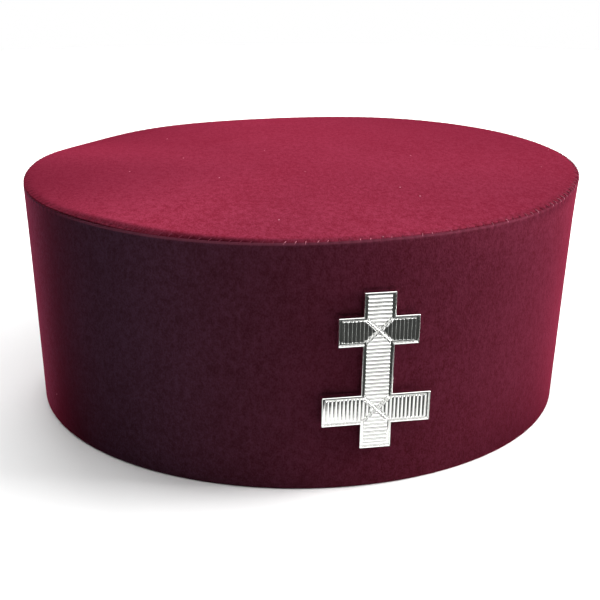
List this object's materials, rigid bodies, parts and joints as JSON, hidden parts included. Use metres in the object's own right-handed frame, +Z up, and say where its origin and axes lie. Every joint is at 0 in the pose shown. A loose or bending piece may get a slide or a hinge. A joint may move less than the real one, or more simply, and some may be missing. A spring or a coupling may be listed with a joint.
{
  "type": "ceremonial crown cap with a metal cross badge",
  "caption": "Round stiff velvet cap, wider at its flat crown than at its base, with a cast double-barred cross badge pinned to the front.",
  "frame": {"origin": "centre of the base rim, on the surface that the cap rests on", "axes": "+Z up through the crown; the front of the cap, with the badge, faces -Y"},
  "size_m": [0.1976, 0.2004, 0.0833],
  "materials": {
    "band_velvet": "dark crimson short-pile velvet, matt with a bright sheen at grazing angles",
    "crown_velvet": "crimson short-pile velvet, matt with soft nap marks",
    "badge_plating": "bright silver-coloured plating on cast metal",
    "fixing_steel": "plain satin steel"
  },
  "bodies": {
    "root": {"side_band": "band_velvet", "crown_top": "crown_velvet", "cross_badge": "badge_plating", "badge_fixing": "fixing_steel"}
  },
  "joints": []
}
